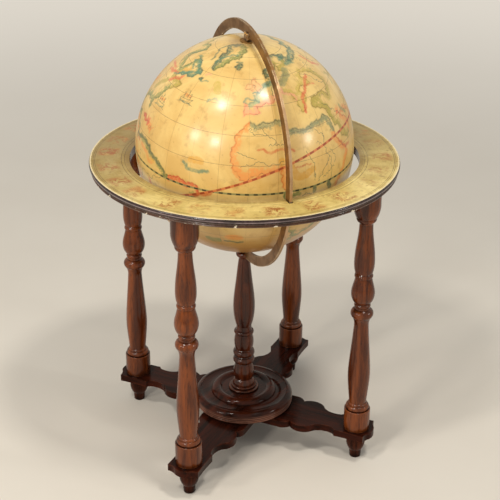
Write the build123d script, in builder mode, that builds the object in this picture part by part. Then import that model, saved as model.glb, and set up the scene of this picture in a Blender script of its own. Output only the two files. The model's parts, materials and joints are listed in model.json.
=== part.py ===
from build123d import *
import os
from math import cos, radians, sin

# A floor globe: a ball that spins on two pole pins inside a bronze meridian ring. The ring turns
# in a slot on a turned column and in two notches of a flat wooden horizon ring, which four turned
# legs carry on a cross of shaped boards.
# Millimetres, +Z up, origin on the floor under the globe. The meridian ring stands in the YZ plane.

# Globe and meridian ring
globe_radius = 200.0
shell_thickness = 4.0
polar_tilt = 4.6  # degrees, north pole towards -Y
meridian_gap = 9.5  # globe to ring
meridian_width = 19.0
meridian_thickness = 5.0

# Horizon ring
horizon_gap = 11.5  # globe to board
horizon_width = 74.0  # board and rim together
horizon_height = 594.0  # floor to the paper's top
board_thickness = 15.5
paper_thickness = 0.5
paper_margin = 1.5  # from the rim's edge
rim_width = 7.0
globe_rise = 23.3  # globe centre above the paper
joint_offset = 5.0  # degrees from a leg to the board joint beside it
notch_clearance = 1.5  # round the meridian ring in the notches

# Stand
leg_inset = 43.0  # horizon's edge to leg centre
leg_radius = 25.2  # block and cup
foot_height = 53.5
base_thickness = 14.0
lap_half = 49.0  # half the width of the bars where they cross
pad_half = 31.5  # half the width of the pads under the legs
nose_reach = 34.5  # leg centre to the arm's end
waist_half = 23.5  # half the width of the arms at their narrowest
plinth_radius = 97.5
plinth_thickness = 26.5
column_foot = 29.0  # radius of the column's lowest moulding
collar_gap = 14.5  # column's foot to the torus round it
column_tenon = 14.0  # radius, through the plinth
tenon_radius = 9.0
head_tenon_length = 10.0
slot_clearance = 0.5  # each side of the meridian ring in the column
slot_depth = 8.0
seat_clearance = 0.3  # under the meridian ring

# Pole fittings
pin_radius = 3.0
running_clearance = 0.05
bush_radius = 5.5
bush_length = 22.0
pin_bite = 20.0  # depth in the globe
washer_radius = 15.0
washer_thickness = 1.2
washer_clearance = 1.0  # round the pin
bracket_length = 18.0
bracket_thickness = 10.0
bracket_standoff = 2.6  # globe to bracket
bracket_grip = 6.0  # how far the cheeks reach over the ring
rivet_radius = 1.25
rivet_spacing = 9.0
hub_radius = 35.0
hub_height = 27.0
hub_socket = 6.0  # for the post
post_radius = 12.5
band_width = 24.0
band_thickness = 6.0

# Fasteners and splines
bolt_radius = 4.0
bolt_head_radius = 7.5
bolt_head_height = 5.5
bolt_washer_radius = 14.0
bolt_washer_thickness = 2.0
insert_radius = 6.0
insert_length = 16.0
bolt_relief = 3.0  # room over the bolt's end
screw_radius = 2.0
screw_bite = 12.0  # depth in the plinth
screw_place = 70.0  # from the stand's axis
spline_length = 50.0
spline_depth = 10.0  # in each board
spline_thickness = 4.0

# Levels and radii that follow
pad_top = foot_height + base_thickness
board_top = horizon_height - paper_thickness
board_bottom = board_top - board_thickness
globe_centre = horizon_height + globe_rise
horizon_inner = globe_radius + horizon_gap
horizon_outer = horizon_inner + horizon_width
board_outer = horizon_outer - rim_width
leg_circle = horizon_outer - leg_inset
meridian_inner = globe_radius + meridian_gap
meridian_outer = meridian_inner + meridian_width
shell_inner = globe_radius - shell_thickness
notch_reach = meridian_outer + notch_clearance
notch_width = meridian_thickness + 2 * notch_clearance
column_top = globe_centre - meridian_outer + slot_depth
bracket_low = globe_radius + bracket_standoff
bracket_high = meridian_inner + bracket_grip
hub_low = shell_inner - hub_height

# The angle of each corner of the stand and of each horizon board's middle from +X, and which
# way each pole points
corners = {"front_left": 225, "front_right": 315, "back_right": 45, "back_left": 135}
board_sides = ["front", "right", "back", "left"]
boards = {side: 270 + 90 * turn + joint_offset for turn, side in enumerate(board_sides)}
poles = {"north": 1, "south": -1}

# The meridian's own plane: its local Y is the polar axis
tilt = radians(polar_tilt)
globe_middle = (0, 0, globe_centre)
meridian_plane = Plane(globe_middle, x_dir=(0, cos(tilt), sin(tilt)), z_dir=(1, 0, 0))
polar_axis = Axis(globe_middle, (0, -sin(tilt), cos(tilt)))

os.makedirs("parts", exist_ok=True)


def finish(piece, name):
    """Labels a finished piece and writes its file."""
    piece.part.label = name
    export_step(piece.part, f"parts/{name}.step")


class Turning:
    """Draws the edge of a turned piece in a BuildLine, from the bottom up."""

    def __init__(self, radius, height):
        self.start = self.end = (radius, height)

    @property
    def height(self):
        return self.end[1]

    def line(self, radius, rise=0.0):
        """A cone, a cylinder or a flat shoulder."""
        begin, self.end = self.end, (radius, self.height + rise)
        Line(begin, self.end)

    def arc(self, middle_radius, middle_rise, radius, rise):
        """A round through a middle point."""
        middle = (middle_radius, self.height + middle_rise)
        begin, self.end = self.end, (radius, self.height + rise)
        ThreePointArc(begin, middle, self.end)

    def bead(self, bulge, rise):
        """A half-round that stands out by its bulge."""
        radius = self.end[0]
        self.arc(radius + bulge, rise / 2, radius, rise)

    def vase(self, rise, *shape):
        """A long smooth curve, with each point's radius and its share of the rise."""
        through = [(radius, self.height + share * rise) for radius, share in shape]
        Spline(self.end, *through)
        self.end = through[-1]

    def close(self):
        Line(self.end, self.start)


class Turned(BasePartObject):
    """A turned piece: its edge revolved about Z."""

    def __init__(self, edge, mode=Mode.ADD):
        with BuildPart() as turned:
            with BuildSketch(Plane.XZ):
                with BuildLine():
                    edge()
                make_face()
            revolve(axis=Axis.Z)
        super().__init__(part=turned.part, mode=mode)


def corner_place(angle):
    return (leg_circle * cos(radians(angle)), leg_circle * sin(radians(angle)))


# Base: two bars half-lapped into a cross. Each arm has a cusp, a lobe, a waist and a pad.
def arm_outline():
    """Half the outline of one arm along the sketch's X, from the crossing to the nose."""
    middle = leg_circle
    horn_start = middle - pad_half - 7.5
    lobe_half = lap_half - 11.0

    def reach(share):
        return plinth_radius + share * (horn_start - plinth_radius)

    side = Line((0, lap_half), (reach(0.01), lap_half))
    cusp = ThreePointArc(side @ 1, (reach(0.12), lap_half - 3.5), (reach(0.19), lobe_half))
    lobe = ThreePointArc(cusp @ 1, (reach(0.37), lap_half - 2.5), (reach(0.59), lobe_half))
    neck = [(reach(0.66), waist_half + 6.0), (reach(0.82), waist_half), (reach(0.95), waist_half + 1.0)]
    waist = Spline(lobe @ 1, *neck)
    horn = ThreePointArc(waist @ 1, (horn_start, waist_half + 3.0), (middle - 35.0, pad_half))
    flank = ThreePointArc(horn @ 1, (middle - 5.0, pad_half - 1.0), (middle + 25.0, pad_half))
    hollow = ThreePointArc(flank @ 1, (middle + 25.8, 24.0), (middle + 28.5, 17.0))
    ThreePointArc(hollow @ 1, (middle + 33.0, 9.5), (middle + nose_reach, 0))


def base_bar(name, angle, lap_level):
    """One bar through the stand's axis, cut away on half its thickness where the other crosses."""
    along = (cos(radians(angle)), sin(radians(angle)), 0)
    underside = Plane((0, 0, foot_height), x_dir=along, z_dir=(0, 0, 1))
    with BuildPart() as bar:
        with BuildSketch(underside):
            with BuildLine():
                arm_outline()
                mirror(about=Plane.XZ)
                mirror(about=Plane.YZ)
            make_face()
        extrude(amount=base_thickness)
        with Locations(underside):
            with Locations((leg_circle, 0), (-leg_circle, 0)):
                Hole(tenon_radius)
            Hole(bolt_radius)
        with Locations(Plane((0, 0, foot_height), x_dir=along, z_dir=(0, 0, -1))):
            with Locations((screw_place, 0), (-screw_place, 0)):
                CounterSinkHole(screw_radius, 2 * screw_radius, counter_sink_angle=90)
        with BuildSketch(Plane((0, 0, lap_level), x_dir=along, z_dir=(0, 0, 1))):
            Rectangle(2 * lap_half, 2 * lap_half)
        extrude(amount=base_thickness / 2, mode=Mode.SUBTRACT)
    finish(bar, name)


base_bar("base_bar_lower", 45, foot_height + base_thickness / 2)
base_bar("base_bar_upper", 135, foot_height)


# Feet: a peg that widens into a bun, with a tenon up into the pad
def foot_edge():
    edge = Turning(0, 0)
    edge.line(9.5)
    edge.arc(10.7, 0.8, 11.1, 3.0)
    edge.line(12.0, 13.0)
    edge.line(13.0, 1.5)
    edge.arc(17.9, 12.0, 17.6, 24.0)
    edge.arc(16.8, 7.0, 15.2, foot_height - edge.height)
    edge.line(tenon_radius)
    edge.line(tenon_radius, base_thickness / 2)
    edge.line(0)
    edge.close()


# Legs: block, beads, lower vase, torus, bulb, fillet, upper vase and cup. The two vases share
# out whatever length the rest leaves.
def leg_edge():
    upper_vase, cup = 95.0, 75.5
    edge = Turning(0, pad_top - base_thickness / 2)
    edge.line(tenon_radius)
    edge.line(tenon_radius, base_thickness / 2)
    edge.line(leg_radius)
    edge.line(leg_radius, 42.5)
    edge.arc(leg_radius - 0.4, 1.1, leg_radius - 1.5, 1.5)
    edge.line(21.0)
    edge.arc(22.6, 4.5, 20.0, 9.5)
    edge.line(18.8, 0.5)
    edge.arc(18.6, 2.5, 16.6, 5.0)
    lower_vase = board_bottom - cup - upper_vase - 111.0 - edge.height
    edge.vase(lower_vase, (19.7, 0.20), (21.2, 0.36), (19.9, 0.53), (16.3, 0.79), (13.8, 1.0))
    edge.arc(14.8, 8.5, 17.8, 16.0)
    edge.arc(21.4, 8.5, 16.6, 17.0)
    edge.line(14.2, 1.0)
    edge.line(14.2, 4.0)
    edge.bead(1.4, 7.0)
    edge.line(14.8, 1.5)
    edge.vase(52.0, (18.6, 0.10), (22.2, 0.42), (20.3, 0.64), (15.7, 1.0))
    edge.bead(1.7, 8.0)
    edge.line(15.0, 1.5)
    edge.line(16.4, 1.0)
    rest = board_bottom - cup - edge.height
    edge.vase(rest, (18.5, 0.10), (19.1, 0.27), (17.8, 0.47), (14.5, 0.74), (12.7, 1.0))
    edge.arc(13.3, 4.0, 15.4, 6.0)
    edge.arc(18.2, 3.5, 18.4, 8.0)
    edge.line(19.4, 1.0)
    edge.arc(23.2, 10.0, leg_radius - 0.2, 28.0)
    edge.line(leg_radius, board_bottom - edge.height)
    edge.line(tenon_radius)
    edge.line(tenon_radius, head_tenon_length)
    edge.line(0)
    edge.close()


for corner, angle in corners.items():
    with BuildPart() as foot:
        with Locations(corner_place(angle)):
            Turned(foot_edge)
    finish(foot, f"foot_{corner}")
    with BuildPart() as leg:
        with Locations(corner_place(angle)):
            Turned(leg_edge)
    finish(leg, f"leg_{corner}")


# Plinth: reeded edge, quarter-round, cove and torus round the column's foot
def plinth_edge():
    collar = column_foot + collar_gap

    def inward(share):
        return plinth_radius - share * (plinth_radius - collar)

    edge = Turning(column_tenon, pad_top)
    edge.line(plinth_radius - 0.8)
    edge.line(plinth_radius - 0.8, 0.8)
    for _reed in range(3):
        edge.bead(1.1, 3.8)
    edge.line(plinth_radius, 0.6)
    edge.arc(inward(0.05), 6.4, inward(0.18), 9.7)
    edge.line(inward(0.20))
    edge.line(inward(0.21), -1.4)
    edge.arc(inward(0.40), -1.8, inward(0.60), 0.0)
    seat = pad_top + plinth_thickness - edge.height
    edge.arc(inward(0.78), 10.0, collar, seat)
    edge.line(column_tenon)
    edge.close()


with BuildPart() as plinth:
    Turned(plinth_edge)
    with Locations(Plane((0, 0, pad_top), z_dir=(0, 0, -1))):
        with PolarLocations(screw_place, 4, start_angle=45):
            Hole(screw_radius, depth=screw_bite)
finish(plinth, "plinth")


def screw_edge():
    edge = Turning(0, foot_height)
    edge.line(2 * screw_radius)
    edge.line(screw_radius, screw_radius)
    edge.line(screw_radius, base_thickness - screw_radius + screw_bite)
    edge.line(0)
    edge.close()


with BuildPart() as plinth_screws:
    with PolarLocations(screw_place, 4, start_angle=45):
        Turned(screw_edge)
finish(plinth_screws, "plinth_screws")


# Column: stepped foot, bulb, two tori, bulb, fillet, long vase and a flared head with the slot
def column_edge():
    head = 15.5
    edge = Turning(0, pad_top)
    edge.line(column_tenon)
    edge.line(column_tenon, plinth_thickness)
    edge.line(column_foot)
    edge.bead(1.0, 4.5)
    edge.line(24.6, 0.5)
    edge.bead(0.8, 4.5)
    edge.line(22.4, 0.5)
    edge.arc(20.8, 8.0, 18.0, 13.0)
    edge.vase(35.0, (20.4, 0.38), (15.9, 1.0))
    for _torus in range(2):
        edge.line(17.2, 1.0)
        edge.bead(4.2, 14.0)
        edge.line(16.6, 1.0)
    edge.vase(34.0, (19.2, 0.45), (16.2, 1.0))
    edge.bead(3.4, 9.0)
    edge.arc(14.9, 5.0, 14.6, 9.0)
    vase = column_top - head - edge.height
    edge.vase(vase, (17.8, 0.08), (21.2, 0.30), (16.3, 0.67), (12.6, 0.90), (10.8, 1.0))
    edge.arc(11.6, 4.5, 14.6, 7.5)
    edge.arc(15.8, 4.0, 14.0, 8.0)
    edge.line(0)
    edge.close()


slot_half = meridian_thickness / 2 + slot_clearance
with BuildPart() as column:
    Turned(column_edge)
    with BuildSketch(Plane.YZ.offset(-slot_half)):
        with Locations((0, globe_centre)):
            Circle(meridian_outer + seat_clearance)
    extrude(amount=2 * slot_half, mode=Mode.SUBTRACT)
    with Locations(Plane((0, 0, pad_top), z_dir=(0, 0, -1))):
        Hole(insert_radius, depth=insert_length)
        Hole(bolt_radius, depth=insert_length + bolt_relief)
finish(column, "column")

# Bolt from below with its washer, and the threaded insert in the column's tenon
with BuildPart() as column_insert:
    with BuildSketch(Plane.XY.offset(pad_top)):
        Circle(insert_radius)
        Circle(bolt_radius, mode=Mode.SUBTRACT)
    extrude(amount=insert_length)
finish(column_insert, "column_insert")

with BuildPart() as bolt_washer:
    with BuildSketch(Plane.XY.offset(foot_height - bolt_washer_thickness)):
        Circle(bolt_washer_radius)
        Circle(bolt_radius, mode=Mode.SUBTRACT)
    extrude(amount=bolt_washer_thickness)
finish(bolt_washer, "bolt_washer")

bolt_head_level = foot_height - bolt_washer_thickness
with BuildPart() as column_bolt:
    with BuildSketch(Plane.XY.offset(bolt_head_level - bolt_head_height)):
        RegularPolygon(bolt_head_radius, 6)
    extrude(amount=bolt_head_height)
    with BuildSketch(Plane.XY.offset(bolt_head_level)):
        Circle(bolt_radius)
    extrude(amount=pad_top + insert_length - bolt_head_level)
finish(column_bolt, "column_bolt")

# Horizon ring: four boards whose ends meet beside the legs, joined by loose splines
board_middle = (horizon_inner + board_outer) / 2
board_centre = (board_top + board_bottom) / 2

with BuildPart() as horizon_splines:
    with BuildSketch(Plane.XY.offset(board_centre - spline_thickness / 2)):
        with PolarLocations(board_middle, 4, start_angle=45 + joint_offset):
            Rectangle(spline_length, 2 * spline_depth)
    extrude(amount=spline_thickness)
finish(horizon_splines, "horizon_splines")

with BuildPart() as notch_cutter:
    with BuildSketch(Plane.XY.offset(board_bottom)):
        Rectangle(notch_width, 2 * notch_reach)
    extrude(amount=horizon_height - board_bottom)

for side, middle in boards.items():
    start = radians(middle - 45)
    out = Vector(cos(start), sin(start), 0)
    with BuildPart() as board:
        with BuildSketch(Plane((0, 0, board_centre), x_dir=out, z_dir=(out.Y, -out.X, 0))):
            with Locations((board_middle, 0)):
                Rectangle(board_outer - horizon_inner, board_thickness)
        revolve(axis=Axis.Z, revolution_arc=90)
        add(horizon_splines.part, mode=Mode.SUBTRACT)
        add(notch_cutter.part, mode=Mode.SUBTRACT)
        with Locations(Plane((0, 0, board_bottom), z_dir=(0, 0, -1))):
            with PolarLocations(leg_circle, 4, start_angle=45):
                Hole(tenon_radius, depth=head_tenon_length)
    finish(board, f"horizon_board_{side}")


# Rim round the boards: a bead above, a hollow and a smaller lip below
def rim_edge():
    edge = Turning(board_outer, board_bottom)
    edge.line(horizon_outer - 4.0)
    edge.bead(1.2, 3.0)
    edge.arc(horizon_outer - 5.2, 2.2, horizon_outer - 4.2, 4.2)
    edge.arc(horizon_outer, 4.6, horizon_outer - 1.6, board_top - edge.height)
    edge.line(board_outer)
    edge.close()


with BuildPart() as horizon_rim:
    Turned(rim_edge)
finish(horizon_rim, "horizon_rim")

with BuildPart() as horizon_paper:
    with BuildSketch(Plane.XY.offset(board_top)):
        Circle(horizon_outer - paper_margin)
        Circle(horizon_inner, mode=Mode.SUBTRACT)
    extrude(amount=paper_thickness)
    add(notch_cutter.part, mode=Mode.SUBTRACT)
finish(horizon_paper, "horizon_paper")

# Meridian ring, with rivet holes for the pole brackets
with BuildPart() as meridian_ring:
    with BuildSketch(meridian_plane.offset(-meridian_thickness / 2)):
        Circle(meridian_outer)
        Circle(meridian_inner, mode=Mode.SUBTRACT)
        for side in poles.values():
            with Locations((0, side * (meridian_inner + bracket_grip / 2))):
                with GridLocations(rivet_spacing, 0, 2, 1):
                    Circle(rivet_radius, mode=Mode.SUBTRACT)
    extrude(amount=meridian_thickness)
finish(meridian_ring, "meridian_ring")

# Pole brackets astride the ring's inner edge, their rivets, and the pins they hold
for pole, side in poles.items():
    rivet_line = side * (meridian_inner + bracket_grip / 2)
    with BuildPart() as bracket:
        with BuildSketch(meridian_plane):
            with Locations((0, side * (bracket_low + bracket_high) / 2)):
                RectangleRounded(bracket_length, bracket_high - bracket_low, 2.5)
            with Locations((0, rivet_line)):
                with GridLocations(rivet_spacing, 0, 2, 1):
                    Circle(rivet_radius, mode=Mode.SUBTRACT)
        extrude(amount=bracket_thickness / 2, both=True)
        with BuildSketch(meridian_plane):
            Circle(meridian_outer)
            Circle(meridian_inner, mode=Mode.SUBTRACT)
        extrude(amount=meridian_thickness / 2, both=True, mode=Mode.SUBTRACT)
        with BuildSketch(meridian_plane):
            with Locations((pin_radius / 2, side * meridian_inner / 2)):
                Rectangle(pin_radius, meridian_inner)
        revolve(axis=polar_axis, mode=Mode.SUBTRACT)
    finish(bracket, f"{pole}_bracket")

    with BuildPart() as rivets:
        with BuildSketch(meridian_plane):
            with Locations((0, rivet_line)):
                with GridLocations(rivet_spacing, 0, 2, 1):
                    Circle(rivet_radius)
        extrude(amount=bracket_thickness / 2, both=True)
        for face_side in (1, -1):
            with BuildSketch(meridian_plane.offset(face_side * bracket_thickness / 2)):
                with Locations((0, rivet_line)):
                    with GridLocations(rivet_spacing, 0, 2, 1):
                        Circle(2 * rivet_radius)
            extrude(amount=face_side * 0.8, taper=35)
    finish(rivets, f"{pole}_rivets")

    with BuildPart() as pin:
        with BuildSketch(meridian_plane):
            Circle(meridian_inner)
            with Locations((pin_radius / 2, side * (globe_radius - pin_bite + meridian_inner) / 2)):
                Rectangle(pin_radius, pin_bite + meridian_gap, mode=Mode.INTERSECT)
        revolve(axis=polar_axis)
    finish(pin, f"{pole}_pin")

# Globe: two half shells that meet at the equator on an inner band, and at each pole a hub with
# a bush for the pin and a washer outside. A post holds the hubs apart.
bush_bore = pin_radius + running_clearance
for pole, side in poles.items():
    with BuildPart() as shell:
        with BuildSketch(meridian_plane):
            Circle(globe_radius)
            Circle(shell_inner, mode=Mode.SUBTRACT)
            with Locations((bush_radius + globe_radius / 2, side * globe_radius / 2)):
                Rectangle(globe_radius, globe_radius, mode=Mode.INTERSECT)
        revolve(axis=polar_axis)
    finish(shell, f"{pole}_shell")

    with BuildPart() as hub:
        with BuildSketch(meridian_plane):
            Circle(shell_inner)
            with Locations(((bush_radius + hub_radius) / 2, side * (hub_low + hub_height / 2))):
                Rectangle(hub_radius - bush_radius, hub_height, mode=Mode.INTERSECT)
            with Locations((tenon_radius / 2, side * (hub_low + hub_socket / 2))):
                Rectangle(tenon_radius, hub_socket, mode=Mode.SUBTRACT)
        revolve(axis=polar_axis)
    finish(hub, f"{pole}_hub")

    with BuildPart() as bush:
        with BuildSketch(meridian_plane):
            Circle(globe_radius)
            with Locations(((bush_bore + bush_radius) / 2, side * (globe_radius - bush_length / 2))):
                Rectangle(bush_radius - bush_bore, bush_length, mode=Mode.INTERSECT)
        revolve(axis=polar_axis)
    finish(bush, f"{pole}_bush")

    washer_hole = pin_radius + washer_clearance
    with BuildPart() as washer:
        with BuildSketch(meridian_plane):
            Circle(globe_radius + washer_thickness)
            Circle(globe_radius, mode=Mode.SUBTRACT)
            with Locations(((washer_hole + washer_radius) / 2, side * globe_radius)):
                Rectangle(washer_radius - washer_hole, globe_radius, mode=Mode.INTERSECT)
        revolve(axis=polar_axis)
    finish(washer, f"{pole}_washer")

with BuildPart() as globe_post:
    with BuildSketch(meridian_plane):
        with Locations((post_radius / 2, 0)):
            Rectangle(post_radius, 2 * hub_low)
        with Locations((tenon_radius / 2, 0)):
            Rectangle(tenon_radius, 2 * (hub_low + hub_socket))
    revolve(axis=polar_axis)
finish(globe_post, "globe_post")

with BuildPart() as equator_band:
    with BuildSketch(meridian_plane):
        Circle(shell_inner)
        with Locations((shell_inner - band_thickness + globe_radius / 2, 0)):
            Rectangle(globe_radius, band_width, mode=Mode.INTERSECT)
    revolve(axis=polar_axis)
finish(equator_band, "equator_band")
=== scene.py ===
import json
import math
import random

import bpy
import numpy as np
from mathutils import Matrix, Vector, kdtree


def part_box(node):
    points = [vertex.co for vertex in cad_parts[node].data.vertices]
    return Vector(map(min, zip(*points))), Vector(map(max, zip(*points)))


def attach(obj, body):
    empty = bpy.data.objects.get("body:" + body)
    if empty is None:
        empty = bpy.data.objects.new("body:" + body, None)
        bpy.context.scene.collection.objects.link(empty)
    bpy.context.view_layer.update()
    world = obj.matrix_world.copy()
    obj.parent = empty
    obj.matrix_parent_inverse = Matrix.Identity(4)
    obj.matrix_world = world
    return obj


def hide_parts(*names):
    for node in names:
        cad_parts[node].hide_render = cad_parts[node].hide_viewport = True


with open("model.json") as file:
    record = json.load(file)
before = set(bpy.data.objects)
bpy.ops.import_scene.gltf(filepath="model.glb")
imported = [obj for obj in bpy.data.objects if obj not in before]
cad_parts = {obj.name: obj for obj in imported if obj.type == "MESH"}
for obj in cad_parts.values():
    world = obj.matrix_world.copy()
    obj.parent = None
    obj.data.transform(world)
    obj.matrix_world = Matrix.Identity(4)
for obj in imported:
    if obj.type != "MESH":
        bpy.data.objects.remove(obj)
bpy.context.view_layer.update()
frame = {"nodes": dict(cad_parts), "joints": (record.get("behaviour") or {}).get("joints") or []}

# An old floor globe: twelve gores of painted map on the ball, a printed paper on the horizon ring, a
# browned meridian ring and a turned walnut stand. Metres, +Z up. Only the gores are made here. Every
# other part is the frame's own and gets its finish here.

scene = bpy.context.scene
parts = frame["nodes"]
spin = next(joint for joint in frame["joints"] if joint["name"] == "globe_spin")
ballCentre = Vector(spin["pos_m"])
pole = Vector(spin["axis"]).normalized()
rng = random.Random(7)
print("frame loaded:", len(parts), "parts")


# Small helpers for shader nodes
def rgb(red, green, blue):  # a colour as a paint chart gives it, 0 to 255
    def linear(value):
        value /= 255
        return value / 12.92 if value < 0.04045 else ((value + 0.055) / 1.055) ** 2.4
    return (linear(red), linear(green), linear(blue), 1)


class Wire:  # one output of a node; sums with it make Math nodes in the same tree
    def __init__(self, socket):
        self.socket, self.tree = socket, socket.id_data

    def __add__(self, other):
        return calc("ADD", self, other)

    def __sub__(self, other):
        return calc("SUBTRACT", self, other)

    def __mul__(self, other):
        return calc("MULTIPLY", self, other)

    def __truediv__(self, other):
        return calc("DIVIDE", self, other)

    def __abs__(self):
        return calc("ABSOLUTE", self)


def plug(socket, value):
    if isinstance(value, Wire):
        value.tree.links.new(value.socket, socket)
    else:
        socket.default_value = value


def put(tree, kind, output, inputs=None, **settings):  # a node, of which one output is wanted
    node = tree.nodes.new("ShaderNode" + kind)
    for name, value in settings.items():
        setattr(node, name, value)
    for name, value in (inputs or {}).items():
        plug(node.inputs[name], value)
    return Wire(node.outputs[output])


def calc(operation, *values):
    tree = next(value.tree for value in values if isinstance(value, Wire))
    return put(tree, "Math", 0, dict(enumerate(values)), operation=operation)


def vectorCalc(operation, *vectors):
    output = "Value" if operation in ("DOT_PRODUCT", "LENGTH") else "Vector"
    return put(vectors[0].tree, "VectorMath", output, dict(enumerate(vectors)), operation=operation)


def lengthIn(vector, axes):  # its length in the axes that have a 1
    return vectorCalc("LENGTH", vectorCalc("MULTIPLY", vector, axes))


def onAxis(vector, axis):
    return put(vector.tree, "SeparateXYZ", axis, {0: vector})


def joined(x, y, z=0.0):
    return put(x.tree, "CombineXYZ", 0, {0: x, 1: y, 2: z})


def between(value, low, high, toLow=0.0, toHigh=1.0):  # a soft step from low to high
    ends = {"Value": value, "From Min": low, "From Max": high, "To Min": toLow, "To Max": toHigh}
    return put(value.tree, "MapRange", "Result", ends, interpolation_type="SMOOTHSTEP")


def oneIf(value, edge, softness):  # 1 where value is under edge, 0 over it
    return between(value, edge - softness, edge + softness, 1.0, 0.0)


def nearLine(value, halfWidth, softness=0.3):  # 1 where value is close to 0
    return oneIf(abs(value), halfWidth, softness)


def toDegrees(value):
    return value * (180 / math.pi)


def mixColor(amount, base, top, blend="MIX"):  # sockets 6 and 7 take the colours, and 2 gives the mix
    return put(amount.tree, "Mix", 2, {0: amount, 6: base, 7: top}, data_type="RGBA", blend_type=blend)


def noise(vector, scale, detail=3.0, roughness=0.55, distortion=0.0):
    return put(vector.tree, "TexNoise", 0, {"Vector": vector, "Scale": scale, "Detail": detail,
                                            "Roughness": roughness, "Distortion": distortion})


def attribute(tree, name, output="Fac"):
    return put(tree, "Attribute", output, attribute_name=name)


def place(tree):  # the point's place in the row frame, in metres
    return put(tree, "TexCoord", "Object")


def newGroup(name, inputs, outputs):
    group = bpy.data.node_groups.new(name, "ShaderNodeTree")
    for direction, sockets in (("INPUT", inputs), ("OUTPUT", outputs)):
        for label, kind, *default in sockets:
            socket = group.interface.new_socket(
                name=label, in_out=direction, socket_type="NodeSocket" + kind)
            if default:
                socket.default_value = default[0]
    source = group.nodes.new("NodeGroupInput").outputs
    given = {label: Wire(source[label]) for label, *_ in inputs}
    return group, given, group.nodes.new("NodeGroupOutput").inputs


def useGroup(tree, group, inputs):
    node = tree.nodes.new("ShaderNodeGroup")
    node.node_tree = group
    for name, value in inputs.items():
        plug(node.inputs[name], value)
    return {socket.name: Wire(socket) for socket in node.outputs}


def newMaterial(name):
    material = bpy.data.materials.new(name)
    material.use_nodes = True
    tree = material.node_tree
    return material, tree, tree.nodes["Principled BSDF"]


def varnish(surface, look, color, patches, glossEnds=(0.3, 0.7)):  # colour, patchy gloss and a clear coat
    plug(surface.inputs["Base Color"], color)
    plug(surface.inputs["Roughness"], between(patches, *glossEnds, look["gloss"], look["dull"]))
    for socket, key in (("Specular IOR Level", "shine"), ("Coat Weight", "coat"),
                        ("Coat Roughness", "coatRoughness")):
        surface.inputs[socket].default_value = look[key]


def addBump(surface, height, strength, distance):
    plug(surface.inputs["Normal"], put(height.tree, "Bump", 0, {
        "Height": height, "Strength": strength, "Distance": distance}))


# Effects that materials share
def makeGrain():
    group, given, out = newGroup(
        "Wood Grain",
        [("Direction", "Vector", (0, 0, 1)), ("Scale", "Float", 60.0), ("Stretch", "Float", 14.0)],
        [("Tone", "Float"), ("Pores", "Float"), ("Figure", "Float")])
    point, direction, scale = place(group), given["Direction"], given["Scale"]
    along = vectorCalc("DOT_PRODUCT", point, direction)
    squeeze = along * calc("SUBTRACT", 1.0, calc("DIVIDE", 1.0, given["Stretch"]))
    pulled = put(group, "VectorMath", 0, {0: direction, "Scale": squeeze}, operation="SCALE")
    fibre = vectorCalc("SUBTRACT", point, pulled)
    plug(out["Tone"], noise(fibre, scale, 5.0, 0.6, 0.6))
    plug(out["Pores"], between(noise(fibre, scale * 9.0, 2.0, 0.5), 0.57, 0.68))
    plug(out["Figure"], noise(fibre, scale * 0.28, 2.0, 0.5, 1.2))
    return group


def makeWearAndShade():
    group, given, out = newGroup(
        "Edge Wear And Hollow Shade",
        [("Edge Reach", "Float", 0.003), ("Hollow Reach", "Float", 0.012), ("Break Up", "Float", 90.0)],
        [("Edges", "Float"), ("Hollows", "Float")])

    def closeness(reach, inside):
        clear = put(group, "AmbientOcclusion", "AO", {"Distance": given[reach]}, inside=inside, samples=6)
        return calc("SUBTRACT", 1.0, clear)

    rough = noise(place(group), given["Break Up"], 4.0, 0.65)
    plug(out["Edges"], between(closeness("Edge Reach", True), 0.15, 0.6) * between(rough, 0.4, 0.62))
    # painted shade: darker where the surface is closed in, standing also for dirt in the hollows
    plug(out["Hollows"], between(closeness("Hollow Reach", False), 0.08, 0.5))
    return group


grain = makeGrain()
wearAndShade = makeWearAndShade()


def wearAndShadeOf(tree, look):
    return useGroup(tree, wearAndShade, {"Edge Reach": look["edgeReach"], "Hollow Reach": look["hollowReach"],
                                 "Break Up": look["breakUp"]})


# Wood
plinthLow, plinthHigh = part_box("plinth")


def reedWearAndSheen(tree, smear, look):  # the plinth's reeded edge is kicked and rubbed paler, and its crests carry a painted highlight
    point, reed, radius = place(tree), look["reed"], plinthHigh.x
    height = onAxis(point, "Z") - (plinthLow.z + look["firstReed"])
    outside = between(lengthIn(point, (1, 1, 0)), radius * 0.972, radius * 0.985)
    crest = between(calc("PINGPONG", height, reed / 2), reed * 0.12, reed * 0.42, 0.12, 1.0)
    reeds = between(height, reed * 3.8, reed * 3.0)
    return outside * reeds * (crest * between(smear, 0.35, 0.6, 0.35, 0.9))


def woodFinish(name, look):
    material, tree, surface = newMaterial(name)
    fibre = useGroup(tree, grain, {"Direction": look["direction"], "Scale": look["grainScale"],
                                   "Stretch": look["grainStretch"]})
    worn = wearAndShadeOf(tree, look)
    smear = noise(place(tree), 22.0, 4.0, 0.6)
    color = mixColor(between(fibre["Tone"], 0.34, 0.66), look["dark"], look["light"])
    color = mixColor(between(fibre["Figure"], 0.35, 0.7, 0.0, look["figure"]), color, look["figureColor"])
    color = mixColor(fibre["Pores"] * look["pores"], color, look["poreColor"])
    # dirt and painted shade darken the hollows
    color = mixColor(worn["Hollows"] * look["hollowDirtAndShade"], color, look["hollowDirtShadeColor"])
    color = mixColor(worn["Edges"] * look["rub"], color, look["rubColor"])
    if "reed" in look:
        # reed crests: wear and a painted highlight
        color = mixColor(reedWearAndSheen(tree, smear, look), color, look["reedWearSheenColor"])
    varnish(surface, look, color, smear, (0.3, 0.72))
    addBump(surface, fibre["Tone"] * 0.4 - fibre["Pores"], look["relief"], 0.0004)
    return material


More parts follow.
